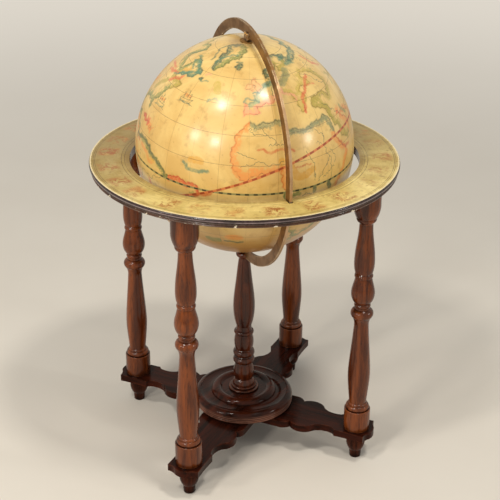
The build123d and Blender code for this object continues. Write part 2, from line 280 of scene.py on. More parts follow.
turnedWalnut = {
    "direction": (0, 0, 1), "grainScale": 62.0, "grainStretch": 13.0,
    "dark": rgb(66, 28, 10), "light": rgb(130, 65, 25),
    "figure": 0.5, "figureColor": rgb(78, 33, 13),
    "pores": 0.5, "poreColor": rgb(32, 13, 7),
    "hollowDirtAndShade": 0.85, "hollowDirtShadeColor": rgb(26, 10, 6),
    "rub": 0.4, "rubColor": rgb(172, 98, 50),
    "edgeReach": 0.004, "hollowReach": 0.02, "breakUp": 90.0,
    "gloss": 0.1, "dull": 0.24, "shine": 0.36, "coat": 0.0, "coatRoughness": 0.2, "relief": 0.14,
}
darkWalnut = dict(
    turnedWalnut,
    dark=rgb(26, 9, 4), light=rgb(62, 23, 11), figureColor=rgb(40, 14, 7),
    hollowDirtShadeColor=rgb(10, 4, 3), rubColor=rgb(112, 56, 30), shine=0.08)
diagonal = math.sqrt(0.5)
woods = {
    "legs": woodFinish("walnut legs", turnedWalnut),
    "column": woodFinish("walnut column", dict(turnedWalnut, dark=rgb(44, 16, 7), light=rgb(94, 42, 18))),
    "feet": woodFinish("walnut feet", dict(darkWalnut, light=rgb(88, 42, 24))),
    "plinth": woodFinish("walnut plinth", dict(
        darkWalnut, direction=(0.9, 0.436, 0), grainScale=45.0, light=rgb(74, 29, 13), gloss=0.08, dull=0.2,
        # the paler rubbed edges are wear and also a painted highlight on the mouldings
        shine=0.16, rub=0.8, rubColor=rgb(134, 84, 62), edgeReach=0.006, breakUp=16.0,
        reed=0.0038, firstReed=0.0008, reedWearSheenColor=rgb(132, 88, 70))),
    "lowerBar": woodFinish("walnut lower bar", dict(darkWalnut, direction=(diagonal, diagonal, 0))),
    "upperBar": woodFinish("walnut upper bar", dict(darkWalnut, direction=(diagonal, -diagonal, 0))),
    "frontBoard": woodFinish("walnut board", dict(turnedWalnut, direction=(1, 0, 0))),
    "sideBoard": woodFinish("walnut side board", dict(turnedWalnut, direction=(0, 1, 0))),
    "bare": woodFinish("bare beech", dict(
        turnedWalnut, dark=rgb(168, 128, 84), light=rgb(206, 168, 118), figureColor=rgb(188, 148, 98),
        poreColor=rgb(120, 86, 54), hollowDirtShadeColor=rgb(96, 70, 46), gloss=0.6, dull=0.75)),
}
print("woods mixed")


# Metal
def paintedRimLight(offset, cloud, reach):  # a painted highlight on the ring's outer face, low down, where it faces the lamps
    outside = between(lengthIn(offset, (0, 1, 1)), reach - 0.0009, reach - 0.0004)
    lower = between(onAxis(offset, "Z"), reach * 0.85, reach * 0.45)
    return outside * between(cloud, 0.3, 0.6, 0.55, 0.95) * lower


def metalFinish(name, look):
    material, tree, surface = newMaterial(name)
    point = place(tree)
    worn = wearAndShadeOf(tree, look)
    cloud = noise(point, look["cloudScale"], 5.0, 0.65, 0.4)
    fleck = noise(point, look["fleckScale"], 3.0, 0.6)
    color = mixColor(between(cloud, 0.32, 0.68), look["brown"], look["bright"])
    color = mixColor(between(fleck, 0.56, 0.7, 0.0, look["flecks"]), color, look["fleckColor"])
    # dark tarnish and painted shade in the hollows
    color = mixColor(worn["Hollows"] * look["hollowDirtAndShade"], color, look["fleckColor"])
    if "rimReach" in look:
        offset = vectorCalc("SUBTRACT", point, tuple(ballCentre))
        # painted highlight on the lower outer face of the ring
        color = mixColor(paintedRimLight(offset, cloud, look["rimReach"]), color, look["rimLightColor"])
    color = mixColor(worn["Edges"] * look["rub"], color, look["rubColor"])
    plug(surface.inputs["Base Color"], color)
    plug(surface.inputs["Metallic"], between(fleck, 0.5, 0.74, look["metal"], look["metal"] * 0.55))
    plug(surface.inputs["Roughness"], between(cloud, 0.3, 0.7, look["dull"], look["gloss"]))
    addBump(surface, fleck, look["relief"], 0.0003)
    return material


ringLow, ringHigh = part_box("meridian_ring")
agedBrass = {
    "brown": rgb(96, 66, 34), "bright": rgb(150, 108, 58), "fleckColor": rgb(56, 38, 22), "flecks": 0.6,
    "cloudScale": 26.0, "fleckScale": 240.0, "breakUp": 160.0, "edgeReach": 0.0015, "hollowReach": 0.006,
    "hollowDirtAndShade": 0.8, "rub": 0.7, "rubColor": rgb(206, 160, 92), "metal": 0.85, "gloss": 0.32, "dull": 0.5,
    "relief": 0.12,
}
metals = {
    "meridian": metalFinish("browned brass", dict(
        agedBrass, brown=rgb(108, 74, 36), bright=rgb(148, 106, 56), edgeReach=0.0036, breakUp=60.0,
        # the pale rubbed edges are wear and also a painted highlight along the edges
        rub=0.8, rubColor=rgb(222, 198, 160), metal=0.7, rimLightColor=rgb(196, 160, 122),
        rimReach=(ringHigh.z - ringLow.z) / 2)),
    "fittings": metalFinish("brass fittings", dict(
        agedBrass, brown=rgb(132, 94, 46), bright=rgb(186, 142, 76))),
    "steel": metalFinish("old steel", dict(
        agedBrass, brown=rgb(88, 84, 80), bright=rgb(150, 148, 144), fleckColor=rgb(70, 46, 34),
        rubColor=rgb(190, 188, 184))),
}
print("metals mixed")

# The ball and its printed map
front = Vector((0, -1, 0))
notch = (front - pole * front.dot(pole)).normalized()  # longitude 0 faces the front notch
east = pole.cross(notch)
shellLow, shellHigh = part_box("north_shell")
ballRadius = (shellHigh.x - shellLow.x) / 2
ball = {
    "gores": 12, "firstSeam": -33.5, "capEdge": 88.4, "thickness": 0.004,
    "grid": 0.002, "insideColumns": 4,
}
ballMm = ballRadius * 1000
mmPerDegree = math.radians(ballMm)  # on the ball's surface

# The map's outlines. Longitude and latitude in degrees as an atlas has them, land on the left of each
# run, and each run has the wash that the map maker's hand laid along it.
washes = {
    "moss": rgb(116, 130, 62), "olive": rgb(172, 152, 58), "sage": rgb(138, 138, 92),
    "teal": rgb(74, 124, 96), "amber": rgb(228, 148, 70), "red": rgb(212, 88, 50),
    "rose": rgb(234, 160, 116), "gold": rgb(218, 160, 58), "pine": rgb(48, 96, 72),
    "rust": rgb(200, 96, 44), "sky": rgb(120, 146, 112), "straw": rgb(196, 168, 74),
    "slate": rgb(98, 100, 66), "mist": rgb(158, 170, 122), "blush": rgb(226, 176, 112),
}
coasts = {
    "Africa": [
        ("amber", (-7, 36), (-11, 32), (-13, 30), (-14, 26), (-16, 23), (-16, 19), (-16, 16), (-15, 13),
         (-12, 10), (-9, 7), (-3, 9), (2, 11), (8, 12)),
        ("moss", (10, 1), (9, -2), (12, -5), (14, -11), (12, -17), (15, -27), (18, -32), (20, -35),
         (25, -34), (31, -30), (33, -26)),
        ("amber", (36, -24), (35, -20), (40, -16), (41, -11), (40, -6), (43, -1), (47, 2), (50, 7),
         (51, 13), (46, 15), (43, 19)),
        ("sage", (42, 23), (42, 26), (42, 29), (41, 31)),
        ("sage", (38, 33), (36, 32), (33, 31), (29, 31), (26, 30), (23, 29), (20, 30), (17, 31), (13, 31),
         (11, 35), (9, 36), (5, 35), (2, 35), (-1, 35), (-5, 35)),
    ],
    "Europe and Asia": [
        ("olive", (41, 35), (43, 34), (44, 28), (48, 24), (53, 16)),
        ("amber", (59, 16), (62, 21), (60, 24), (55, 27), (52, 30), (57, 28), (66, 26), (70, 22)),
        ("moss", (73, 17), (77, 8), (80, 12), (83, 17), (88, 22), (93, 20), (95, 16), (98, 10), (101, 3),
         (104, 2), (102, 8), (100, 13)),
        ("red", (106, 9), (109, 13), (107, 19), (112, 22), (119, 25), (122, 31), (120, 36), (124, 40),
         (127, 35)),
        ("amber", (129, 37), (131, 43), (138, 48), (141, 53), (136, 55), (150, 59), (158, 52), (162, 58),
         (171, 61), (178, 65)),
        ("teal", (171, 69), (150, 71), (128, 73), (112, 75), (106, 72), (90, 73), (80, 70), (68, 69),
         (60, 68), (50, 67), (45, 65), (38, 65), (41, 68)),
        ("pine", (48, 70), (37, 71), (28, 72), (18, 70), (10, 64), (5, 61), (7, 58)),
        ("olive", (12, 59), (14, 56), (18, 60), (18, 62), (23, 66), (22, 61), (27, 60), (23, 58), (20, 55),
         (11, 54)),
        ("mist", (10, 57), (8, 55), (3, 53), (-1, 50), (-5, 49), (-3, 46), (-5, 45)),
        ("rose", (-11, 45), (-9, 44), (-11, 40), (-11, 38), (-5, 39), (-1, 40), (-3, 43), (1, 44), (5, 44),
         (11, 47)),
        ("straw", (17, 49), (22, 47), (24, 43), (24, 38), (27, 38), (28, 41), (32, 44), (29, 48), (33, 50),
         (42, 49), (39, 54), (44, 56)),
        ("olive", (50, 55), (57, 50), (60, 46), (57, 43), (46, 43), (35, 43), (33, 40), (38, 36)),
    ],
    "North America": [
        ("olive", (-165, 66), (-166, 60), (-158, 57), (-150, 61), (-138, 59), (-130, 53), (-124, 47),
         (-124, 40)),
        ("amber", (-117, 33), (-110, 23), (-113, 31), (-106, 22), (-97, 16), (-88, 13), (-83, 9), (-79, 9)),
        ("moss", (-82, 10), (-84, 15), (-88, 16), (-90, 21), (-97, 20), (-97, 27), (-90, 30), (-84, 30),
         (-81, 26), (-81, 32), (-76, 36)),
        ("olive", (-73, 41), (-70, 43), (-66, 44), (-64, 46), (-70, 48), (-76, 47), (-80, 48)),
        ("teal", (-76, 50), (-69, 52), (-60, 52), (-54, 55), (-57, 58), (-64, 60), (-67, 61)),
        ("moss", (-76, 63), (-77, 58), (-79, 55), (-82, 52), (-86, 55), (-92, 57), (-94, 59), (-91, 64),
         (-86, 67), (-95, 69)),
        ("olive", (-110, 68), (-125, 70), (-141, 70), (-156, 71)),
    ],
    "South America": [
        ("amber", (-87, 8), (-85, 2), (-82, -5), (-76, -14), (-71, -19), (-72, -30), (-74, -38), (-75, -48),
         (-70, -54), (-66, -55)),
        ("moss", (-69, -50), (-65, -43), (-62, -39), (-57, -37), (-58, -35), (-54, -34), (-49, -27),
         (-41, -23), (-39, -15), (-36, -9), (-35, -6)),
        ("red", (-32, -4), (-31, 0), (-33, 2), (-36, 2), (-39, 2), (-42, 3), (-46, 3)),
        ("moss", (-50, 2), (-52, 2), (-56, 6), (-61, 8), (-65, 9), (-66, 12), (-71, 13), (-78, 13),
         (-85, 12)),
    ],
    "Greenland": [
        ("moss", (-44, 60), (-37, 65), (-23, 70), (-18, 75), (-22, 82)),
        ("pine", (-45, 83), (-62, 82), (-69, 77), (-58, 75), (-54, 70), (-52, 65)),
    ],
    "Iceland": [
        ("pine", (-24, 65), (-20, 63), (-15, 65), (-20, 67)),
    ],
    "Britain": [
        ("blush", (-6, 51), (-1, 51), (2, 53), (-2, 56), (-4, 59), (-6, 57), (-3, 54), (-5, 52)),
    ],
    "Ireland": [
        ("blush", (-10, 52), (-7, 52), (-6, 55), (-9, 55)),
    ],
    "Australia": [
        ("amber", (114, -22), (115, -34), (124, -34), (131, -32), (138, -36), (147, -39), (151, -36)),
        ("moss", (153, -28), (146, -19), (142, -11), (140, -18), (135, -15), (131, -12), (125, -15),
         (121, -19)),
    ],
    "Madagascar": [
        ("red", (44, -22), (46, -25), (50, -16), (49, -12), (45, -17)),
    ],
    "New Guinea": [
        ("teal", (132, -1), (134, -4), (138, -8), (147, -10), (150, -11), (146, -6), (141, -3), (137, -2)),
    ],
    "Borneo": [
        ("amber", (109, 2), (111, -3), (116, -4), (118, 1), (117, 7), (113, 4)),
    ],
    "Sumatra and Java": [
        ("moss", (96, 6), (100, -1), (105, -7), (114, -9), (106, -6), (104, -1), (99, 4)),
    ],
    "Japan": [
        ("red", (130, 32), (135, 34), (141, 36), (142, 40), (145, 44), (142, 45), (140, 42), (137, 37),
         (131, 35)),
    ],
    "New Zealand": [
        ("moss", (167, -46), (171, -44), (174, -42), (178, -38), (173, -35), (173, -39), (170, -42)),
    ],
    "Newfoundland": [
        ("pine", (-53, 53), (-50, 52), (-49, 54), (-50, 54)),
    ],
    "Cuba": [
        ("red", (-85, 22), (-78, 20), (-75, 21), (-80, 23)),
    ],
    "Hispaniola": [
        ("amber", (-73, 18), (-69, 19), (-70, 20)),
    ],
    "Antarctica": [
        ("sage", (180, -76), (140, -68), (100, -67), (60, -69), (20, -71), (-20, -75), (-60, -66),
         (-100, -74), (-140, -76), (-179, -76)),
    ],
}
# Washes laid as strokes: wash, half width in millimetres, points
strokes = [
    ("slate", 3.2, (-85, 11), (-78, 12), (-71, 12), (-67, 11), (-66, 8), (-61, 7), (-56, 5), (-53, 1)),
    ("amber", 4.0, (-76, 9), (-72, 8), (-67, 5), (-63, 4)),
    ("gold", 3.4, (-64, 6), (-61, 5)),
    ("rust", 2.6, (44, 18), (48, 13), (55, 12)),
    ("amber", 4.5, (51, 9), (47, 6), (45, 1)),
    ("olive", 4.5, (35, 41), (45, 35), (43, 31), (47, 26), (49, 22)),
    ("olive", 4.0, (52, 20), (55, 15)),
    ("slate", 2.4, (25, 6), (25, 5)),
    ("sage", 3.2, (14, 30), (21, 29), (28, 30)),
    ("sage", 2.8, (28, 31), (36, 31), (39, 31), (41, 25), (42, 23)),
    ("rust", 2.4, (-3, 22), (1, 21), (5, 21), (9, 22), (15, 20)),
    ("amber", 7.5, (-13, 12), (-11, 10), (-8, 9), (-3, 11)),
    ("rust", 1.8, (15, 12), (18, 12), (23, 12)),
    ("rust", 3.4, (-34, -4), (-30, -3), (-27, -2), (-25, -1)),
    ("gold", 7.0, (8, 16), (16, 7), (24, 9)),
    ("gold", 6.0, (-37, 14), (-31, 14)),
    ("teal", 3.4, (-41, 12), (-39, 10), (-36, 9), (-32, 9), (-27, 10)),
    ("straw", 7.0, (-34, 53), (-31, 49)),
    ("sky", 2.2, (-36, 43), (-26, 44)),
    ("pine", 4.6, (25, -1), (25, -3)),
    ("pine", 5.2, (34, -1), (35, -4)),
    ("moss", 4.0, (14, -2), (17, -2)),
    ("red", 3.3, (45, 54), (41, 52), (38, 50), (31, 46), (28, 42), (27, 37)),
    ("red", 1.8, (37, 49), (46, 48)),
    ("rose", 2.6, (16, 49), (23, 47), (24, 44)),
    ("teal", 5.0, (4, 54), (9, 55)),
    ("teal", 1.8, (-5, 50), (0, 50)),
    ("teal", 2.0, (-11, 45), (-1, 45)),
    ("sage", 7.0, (29, 61), (24, 57), (19, 54)),
    ("olive", 4.0, (36, 66), (29, 64)),
    ("pine", 4.4, (37, 70), (43, 67), (47, 64)),
    ("pine", 2.8, (47, 64), (65, 65), (90, 68)),
    ("moss", 4.0, (58, 31), (63, 26)),
    ("olive", 4.0, (74, 46), (80, 43), (95, 42), (108, 39)),
    ("sky", 1.8, (74, 44), (70, 40)),
    ("red", 2.0, (50, 29), (52, 30), (53, 28), (52, 26)),
    ("red", 3.6, (-95, 47), (-86, 48), (-78, 49)),
    ("red", 3.6, (-80, 44), (-76, 47), (-69, 50)),
    ("red", 2.8, (-104, 49), (-96, 50), (-89, 50)),
    ("olive", 5.5, (-92, 35), (-87, 40), (-83, 43)),
    ("teal", 2.8, (-82, 48), (-75, 51), (-68, 53), (-56, 56)),
    ("teal", 2.4, (-68, 56), (-78, 60), (-66, 60), (-60, 57)),
    ("gold", 5.0, (-75, 53), (-70, 56)),
    ("pine", 1.8, (-90, 52), (-99, 56), (-96, 61), (-90, 65), (-91, 67)),
    ("teal", 1.8, (-52, 53), (-46, 53), (-43, 53)),
    ("rose", 2.6, (-49, 56), (-44, 57)),
    ("pine", 2.2, (-59, 65), (-63, 69), (-72, 73), (-72, 77)),
    ("teal", 2.2, (-50, 64), (-50, 68), (-39, 71), (-25, 74)),
    ("pine", 2.4, (-23, 68), (-16, 68)),
    ("amber", 9.0, (-16, -30), (-11, -30)),
    ("pine", 3.0, (-19, -34), (-12, -35), (-9, -34)),
    ("moss", 8.0, (-29, -34), (-23, -34)),
    ("red", 3.0, (70, 62), (73, 54), (82, 50)),
    ("teal", 3.0, (100, 60), (118, 52), (124, 46)),
    ("amber", 4.0, (-108, 36), (-99, 39)),
    ("red", 3.0, (-66, -6), (-58, -14), (-50, -20)),
    ("moss", 4.0, (-70, -34), (-66, -40)),
]
rivers = [
    [(-11, 14), (-6, 15), (1, 15), (7, 15), (9, 16)],
    [(-7, 31), (-5, 29), (0, 29), (2, 29), (0, 31), (-3, 32)], [(2, 29), (5, 27), (6, 25)],
    [(-13, 21), (-8, 19), (-4, 18)], [(21, 19), (23, 15), (25, 11), (25, 7), (25, 3)],
    [(26, 30), (31, 25), (33, 19), (35, 13), (35, 8), (36, 4), (34, -1)],
    [(34, 12), (31, 8), (30, 5), (27, 2)], [(36, 16), (39, 12), (38, 8)],
    [(-50, 2), (-56, -2), (-66, -4), (-74, -5), (-77, -9)], [(-58, -35), (-59, -27), (-55, -19)],
    [(-90, 30), (-91, 36), (-94, 44), (-96, 48)], [(52, 30), (46, 33), (41, 38)],
    [(66, 26), (71, 31), (77, 33)], [(88, 22), (82, 26), (77, 30)], [(122, 31), (112, 31), (102, 28)],
    [(120, 36), (110, 39), (102, 35)], [(80, 70), (75, 60), (83, 52)], [(60, 46), (50, 49), (40, 57)],
    [(9, 53), (8, 49), (9, 48)], [(128, 73), (125, 63), (110, 55)],
    [(12, -5), (20, -2), (24, -6), (26, -11)], [(35, -19), (28, -17), (23, -14)],
]
hills = [  # ranges, a row of small peaks each
    [(-8, 32), (2, 33)], [(30, 3), (38, 7)], [(-76, 6), (-78, -4), (-70, -17), (-70, -35), (-73, -48)],
    [(74, 34), (84, 30), (94, 29)], [(60, 68), (60, 58), (58, 51)], [(-116, 52), (-108, 40), (-104, 30)],
    [(42, 42), (48, 41)], [(8, 46), (14, 47)], [(20, -30), (28, -28)], [(90, 50), (105, 51), (118, 56)],
    [(2, 24.5), (10, 24)], [(28, 22), (31, 20)],
]
ships = [  # where, size in millimetres, which way it heads
    ((-72, 33), 30, -1), ((-52, 41), 30, 1), ((62, 2), 24, 1), ((-28, -20), 24, -1), ((-105, -14), 26, 1),
    ((92, -22), 24, -1), ((-150, 28), 26, 1), ((-140, -46), 24, 1), ((172, 14), 22, -1),
]
# How far the map maker's hand strays, as a share of each line's length; the rest in millimetres
hand = {"coast": 0.16, "stroke": 0.14, "river": 0.2, "finest": 0.9, "hillGap": 6.5, "hillSizes": (4.4, 6.0)}


def printed(longitude, latitude):  # old charts draw Africa and the inland sea too wide, and all a bit tall
    return float(np.interp(longitude, (-180, -16, 51, 180), (-192, -28, 46, 168))), latitude * 1.015


def onBall(longitude, latitude):
    turn, rise = map(math.radians, printed(longitude, latitude))
    return np.array(notch * math.cos(turn) * math.cos(rise) + east * math.sin(turn) * math.cos(rise)
                    + pole * math.sin(rise))


def normed(vector):
    return vector / np.linalg.norm(vector)


def roughened(points, wildness):  # midpoints thrown aside, until they are close together
    points = list(points)
    while True:
        gaps = [np.linalg.norm(b - a) * ballMm for a, b in zip(points, points[1:])]
        if max(gaps) < hand["finest"]:
            return np.array(points)
        finer = [points[0]]
        for a, b, gap in zip(points, points[1:], gaps):
            if gap > hand["finest"]:
                finer.append(normed((a + b) / 2 + np.cross(a, b - a) * rng.gauss(0, wildness)))
            finer.append(b)
        points = finer


class LineBook:  # lines on the unit ball, with a colour and a half width for each, ready to measure from
    def __init__(self):
        self.pieces = []

    def add(self, points, color=(0, 0, 0, 1), halfWidth=0.0):
        self.pieces += [(a, b, color, halfWidth) for a, b in zip(points, points[1:])]

    def close(self):
        self.starts, self.ends, self.colors, self.halfWidths = map(np.array, zip(*self.pieces))
        self.tree = kdtree.KDTree(len(self.pieces))
        for index, middle in enumerate((self.starts + self.ends) / 2):
            self.tree.insert(middle, index)
        self.tree.balance()
        return self

    def measure(self, points):  # millimetres to the nearest line, more than 0 on its left, and its number
        hits = [self.tree.find_n(point, 3) for point in points]
        best = np.full(len(points), 1e9)
        signed, chosen = np.zeros(len(points)), np.zeros(len(points), int)
        for rank in range(3):
            index = np.array([hit[rank][1] for hit in hits])
            start, along = self.starts[index], self.ends[index] - self.starts[index]
            share = ((points - start) * along).sum(1) / np.maximum((along ** 2).sum(1), 1e-15)
            away = points - (start + along * np.clip(share, 0, 1)[:, None])
            distance = np.linalg.norm(away, axis=1)
            side = (np.cross(points, along) * away).sum(1)
            # at a shared corner the line that is met more squarely gives the side
            score = distance - abs(side) / np.linalg.norm(along, axis=1) * 1e-3
            better = score < best
            best = np.where(better, score, best)
            signed = np.where(better, np.where(side >= 0, distance, -distance), signed)
            chosen = np.where(better, index, chosen)
        return signed * ballMm, chosen


def sketchAt(middle, size, heading=1):  # a small drawing, flat on the ball, from -1 to 1 across its size
    middle = normed(middle)
    across = normed(np.cross(np.array(pole), middle))
    upward = np.cross(middle, across)
    scale = size / 2000 / ballRadius

    def draw(*points):
        return [normed(middle + (across * x * heading + upward * y) * scale) for x, y in points]
    return draw


def coastBook():
    book = LineBook()
    for outline in coasts.values():
        corners = [(onBall(*point), washes[run[0]]) for run in outline for point in run[1:]]
        for (a, color), (b, _) in zip(corners, corners[1:] + corners[:1]):
            book.add(roughened([a, b], hand["coast"]), color)
    return book.close()


def strokeBook():
    book = LineBook()
    for wash, halfWidth, *points in strokes:
        path = roughened([onBall(*point) for point in points], hand["stroke"])
        book.add(path, washes[wash], halfWidth)
    for spot, size, heading in ships:
        draw = sketchAt(onBall(*spot), size, heading)
        book.add(draw((-0.95, -0.2), (-0.3, -0.42), (0.35, -0.34), (0.95, -0.56)), washes["teal"], 1.3)
        book.add(draw((-0.45, 0.5), (0.35, 0.4)), washes["amber"], 3.4)
    return book.close()


def inkBook():
    book = LineBook()
    for points in rivers:
        book.add(roughened([onBall(*point) for point in points], hand["river"]))
    for chain in hills:
        for start, end in zip(chain, chain[1:]):
            a, b = onBall(*start), onBall(*end)
            peaks = max(2, int(np.linalg.norm(b - a) * ballMm / hand["hillGap"]))
            for peak in range(peaks):
                draw = sketchAt(a + (b - a) * (peak + 0.5) / peaks, rng.uniform(*hand["hillSizes"]))
                book.add(draw((-1, -0.6), (-0.1, 0.6), (0.9, -0.5)))
    for spot, size, heading in ships:
        draw = sketchAt(onBall(*spot), size, heading)
        book.add(draw((-1, 0.1), (-0.8, -0.3), (0.6, -0.3), (1, 0.15), (0.4, 0), (-0.6, 0), (-1, 0.1)))
        for mast, height in ((-0.5, 0.8), (0.05, 1.1), (0.5, 0.75)):
            book.add(draw((mast, 0), (mast, height)))
            book.add(draw((mast - 0.22, 0.3), (mast + 0.05, height * 0.62), (mast - 0.16, height * 0.9)))
        book.add(draw((-1.15, -0.5), (-0.6, -0.4), (0, -0.52), (0.6, -0.42), (1.15, -0.52)))
    return book.close()


def makeGore(number, books):
    width, last = 360 / ball["gores"], ball["insideColumns"]
    columns = max(8, round(math.radians(width) * ballRadius / ball["grid"]))
    rows = round(math.radians(2 * ball["capEdge"]) * ballRadius / ball["grid"])
    start = ball["firstSeam"] + number * width

    def surface(radius, columnCount):
        turn = np.radians(start + width * np.arange(columnCount + 1) / columnCount)[None, :]
        rise = np.radians(np.linspace(-ball["capEdge"], ball["capEdge"], rows + 1))[:, None]
        unit = (np.cos(turn) * np.cos(rise))[..., None] * np.array(notch)
        unit = unit + (np.sin(turn) * np.cos(rise))[..., None] * np.array(east)
        unit = unit + (np.sin(rise) * np.ones_like(turn))[..., None] * np.array(pole)
        return unit.reshape(-1, 3), unit.reshape(-1, 3) * radius + np.array(ballCentre)

    unit, outer = surface(ballRadius, columns)
    inside, inner = surface(ballRadius - ball["thickness"], last)

    def out(row, column):
        return row * (columns + 1) + column

    def back(row, column):
        return len(outer) + row * (last + 1) + column

    faces = [(out(r, c), out(r, c + 1), out(r + 1, c + 1), out(r + 1, c))
             for r in range(rows) for c in range(columns)]
    skin = len(faces)
    faces += [(back(r, c), back(r + 1, c), back(r + 1, c + 1), back(r, c + 1))
              for r in range(rows) for c in range(last)]
    faces += [(out(r, 0), out(r + 1, 0), back(r + 1, 0), back(r, 0)) for r in range(rows)]
    faces += [(back(r, last), back(r + 1, last), out(r + 1, columns), out(r, columns)) for r in range(rows)]
    faces.append([back(0, c) for c in range(last + 1)] + [out(0, c) for c in reversed(range(columns + 1))])
    faces.append([out(rows, c) for c in range(columns + 1)]
                 + [back(rows, c) for c in reversed(range(last + 1))])
    mesh = bpy.data.meshes.new(f"globe_gore_{number + 1:02d}")
    mesh.from_pydata(np.vstack((outer, inner)).tolist(), [], faces)
    mesh.shade_smooth()
    every = np.vstack((unit, inside))
    normals = np.zeros((len(mesh.loops), 3))
    corner = np.zeros(len(mesh.loops), int)
    mesh.loops.foreach_get("vertex_index", corner)
    normals[:skin * 4] = every[corner[:skin * 4]]
    for face in mesh.polygons[skin:]:
        normals[face.loop_start:face.loop_start + face.loop_total] = face.normal
    mesh.normals_split_custom_set(normals.tolist())
    outlines, brush, ink = books
    coast, run = outlines.measure(every)
    stroke, laid = brush.measure(every)
    line, _ = ink.measure(every)
    for name, values in (("coast", coast), ("stroke", abs(stroke) - brush.halfWidths[laid]),
                         ("inkSide", line), ("inkNear", abs(line))):
        mesh.attributes.new(name, "FLOAT", "POINT").data.foreach_set("value", values.astype(np.float32))
    for name, values in (("coastWash", outlines.colors[run]), ("strokeWash", brush.colors[laid])):
        mesh.attributes.new(name, "FLOAT_COLOR", "POINT").data.foreach_set(
            "color", values.astype(np.float32).ravel())
    gore = bpy.data.objects.new(mesh.name, mesh)
    scene.collection.objects.link(gore)
    return gore


# Printed, coloured and varnished paper
def makeAge():  # what old paper has anywhere: clouds, foxing, rubbed dirt
    group, given, out = newGroup(
        "Paper Age",
        [("Light", "Color"), ("Dark", "Color"), ("Stain", "Color"), ("Scale", "Float", 10.0),
         ("Stains", "Float", 0.5)],
        [("Color", "Color"), ("Cloud", "Float"), ("Fibre", "Float")])
    point, stains = place(group), given["Stains"]
    cloud = noise(point, given["Scale"], 5.0, 0.6, 0.8)
    small = noise(point, given["Scale"] * 6.0, 4.0, 0.62)
    specks = put(group, "TexVoronoi", "Distance", {"Vector": point, "Scale": 95.0})
    spotted = between(specks, 0.16, 0.05) * between(cloud, 0.46, 0.6)
    color = mixColor(between(cloud, 0.3, 0.7), given["Light"], given["Dark"])
    color = mixColor(between(small, 0.52, 0.74) * stains, color, given["Stain"])
    plug(out["Color"], mixColor(spotted * stains, color, given["Stain"]))
    plug(out["Cloud"], cloud)
    plug(out["Fibre"], noise(point, 900.0, 2.0, 0.5))
    return group


def agedPaper(tree, look):
    return useGroup(tree, paperAge, {"Light": look["light"], "Dark": look["dark"], "Stain": look["stain"],
                                     "Scale": look["clouds"], "Stains": look["stains"]})


paperAge = makeAge()
mapPaper = {
    "light": rgb(235, 201, 124), "dark": rgb(214, 172, 94), "stain": rgb(160, 116, 54), "stains": 0.4,
    "clouds": 9.0,
    # painted shade on the south half, and a smudge round the poles, by latitude: from, to, least, most
    "south": rgb(172, 118, 52), "southShade": (-12, -50, 0.0, 0.9),
    "smudge": rgb(128, 104, 76), "poleShade": (76, 88, 0.0, 0.65),
    # washes and ink, in millimetres
    "washDepth": 0.84, "washNarrow": 6.5, "washWide": 14.0, "dryBrush": 210.0, "coastStray": 1.6,
    "strokeStray": 4.0, "coastInk": rgb(58, 50, 34), "riverInk": rgb(70, 86, 62), "riverDepth": 0.75,
    "ripples": (-4.2, -0.6), "rippleInk": rgb(84, 60, 38), "rippleDepth": 0.16,
    # net of degrees: its steps up and round, and each line's half width and softness in millimetres
    "net": (14.65, 15.0), "firstMeridian": -33.5, "netInk": rgb(112, 76, 40), "netDepth": 0.8,
    "parallel": (0.36, 0.24), "meridian": (0.28, 0.22), "meridianDepth": 0.35, "lastParallel": 79,
    "seam": (0.4, 0.35), "seamDepth": 0.4,
    "gloss": 0.3, "dull": 0.4, "shine": 0.5, "coat": 0.4, "coatRoughness": 0.18,
}
# The two dashed bands. Each line has half width and softness in millimetres, and strength; the dashes
# have count, phase and share
equator = {
    "band": (1.9, 0.3, 0.8), "color": rgb(128, 134, 84), "marks": (1.6, 0.3, 0.92), "ink": rgb(26, 32, 22),
    "dashes": (84, -40.4, 0.48),
}
ecliptic = {
    "band": (2.3, 0.6, 0.85), "color": rgb(208, 108, 52), "marks": (1.8, 0.5, 0.9), "ink": rgb(150, 60, 24),
    "dashes": (78, 18.1, 0.56), "node": -36.7, "tilt": 21.7,
}


def dashes(angle, count, phase, share):  # 1 on a share of each step round the circle
    step = 360 / count
    saw = abs(calc("FRACT", (angle - (phase + step / 2)) / step) - 0.5)
    return oneIf(saw, share / 2, 0.03)


def dashedBand(color, off, along, look):
    halfWidth, softness, strength = look["band"]
    color = mixColor(nearLine(off, halfWidth, softness) * strength, color, look["color"])
    halfWidth, softness, strength = look["marks"]
    marks = dashes(along, *look["dashes"]) * nearLine(off, halfWidth, softness)
    return mixColor(marks * strength, color, look["ink"])


